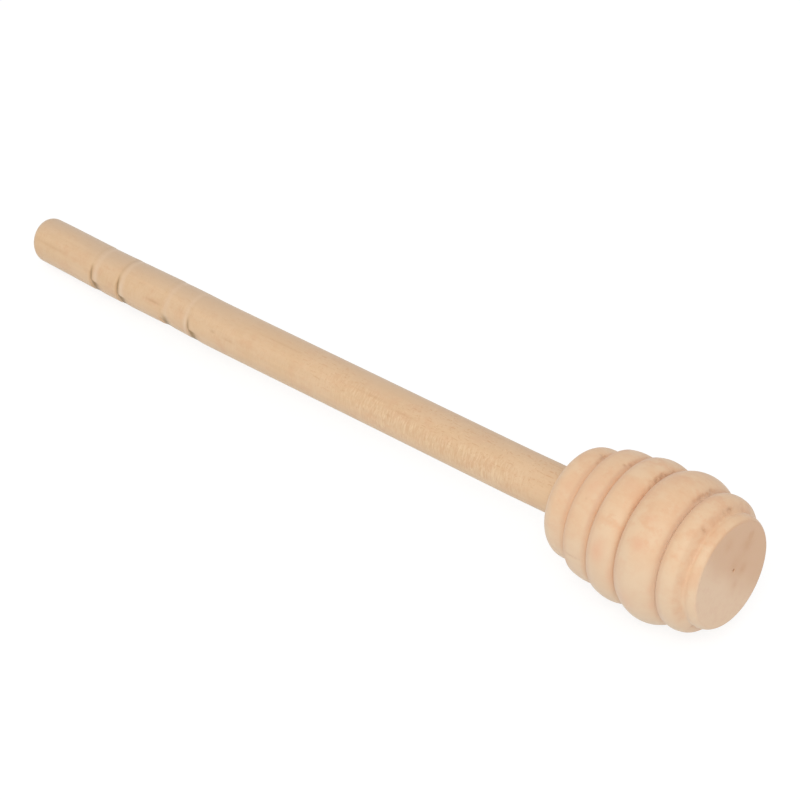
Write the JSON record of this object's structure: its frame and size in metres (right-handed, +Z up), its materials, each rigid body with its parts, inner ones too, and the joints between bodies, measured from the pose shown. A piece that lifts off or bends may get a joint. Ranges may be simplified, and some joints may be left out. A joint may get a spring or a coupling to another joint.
{
  "type": "honey dipper",
  "caption": "Turned wooden honey dipper: an egg-shaped head of five rounded rings with honey grooves between them, on a slim round handle with fine V grooves.",
  "frame": {"origin": "middle of the bounding box, on the surface that the dipper lies on", "axes": "+X is the dipper's long direction and points from the handle to the ringed head, +Z is up, +Y is across the dipper"},
  "size_m": [0.1602, 0.0256, 0.0255],
  "materials": {
    "head_wood": "matte",
    "handle_wood": "matte",
    "glue": "matte"
  },
  "bodies": {
    "root": {"head": "head_wood", "handle": "handle_wood", "glue_film": "glue"}
  },
  "joints": []
}
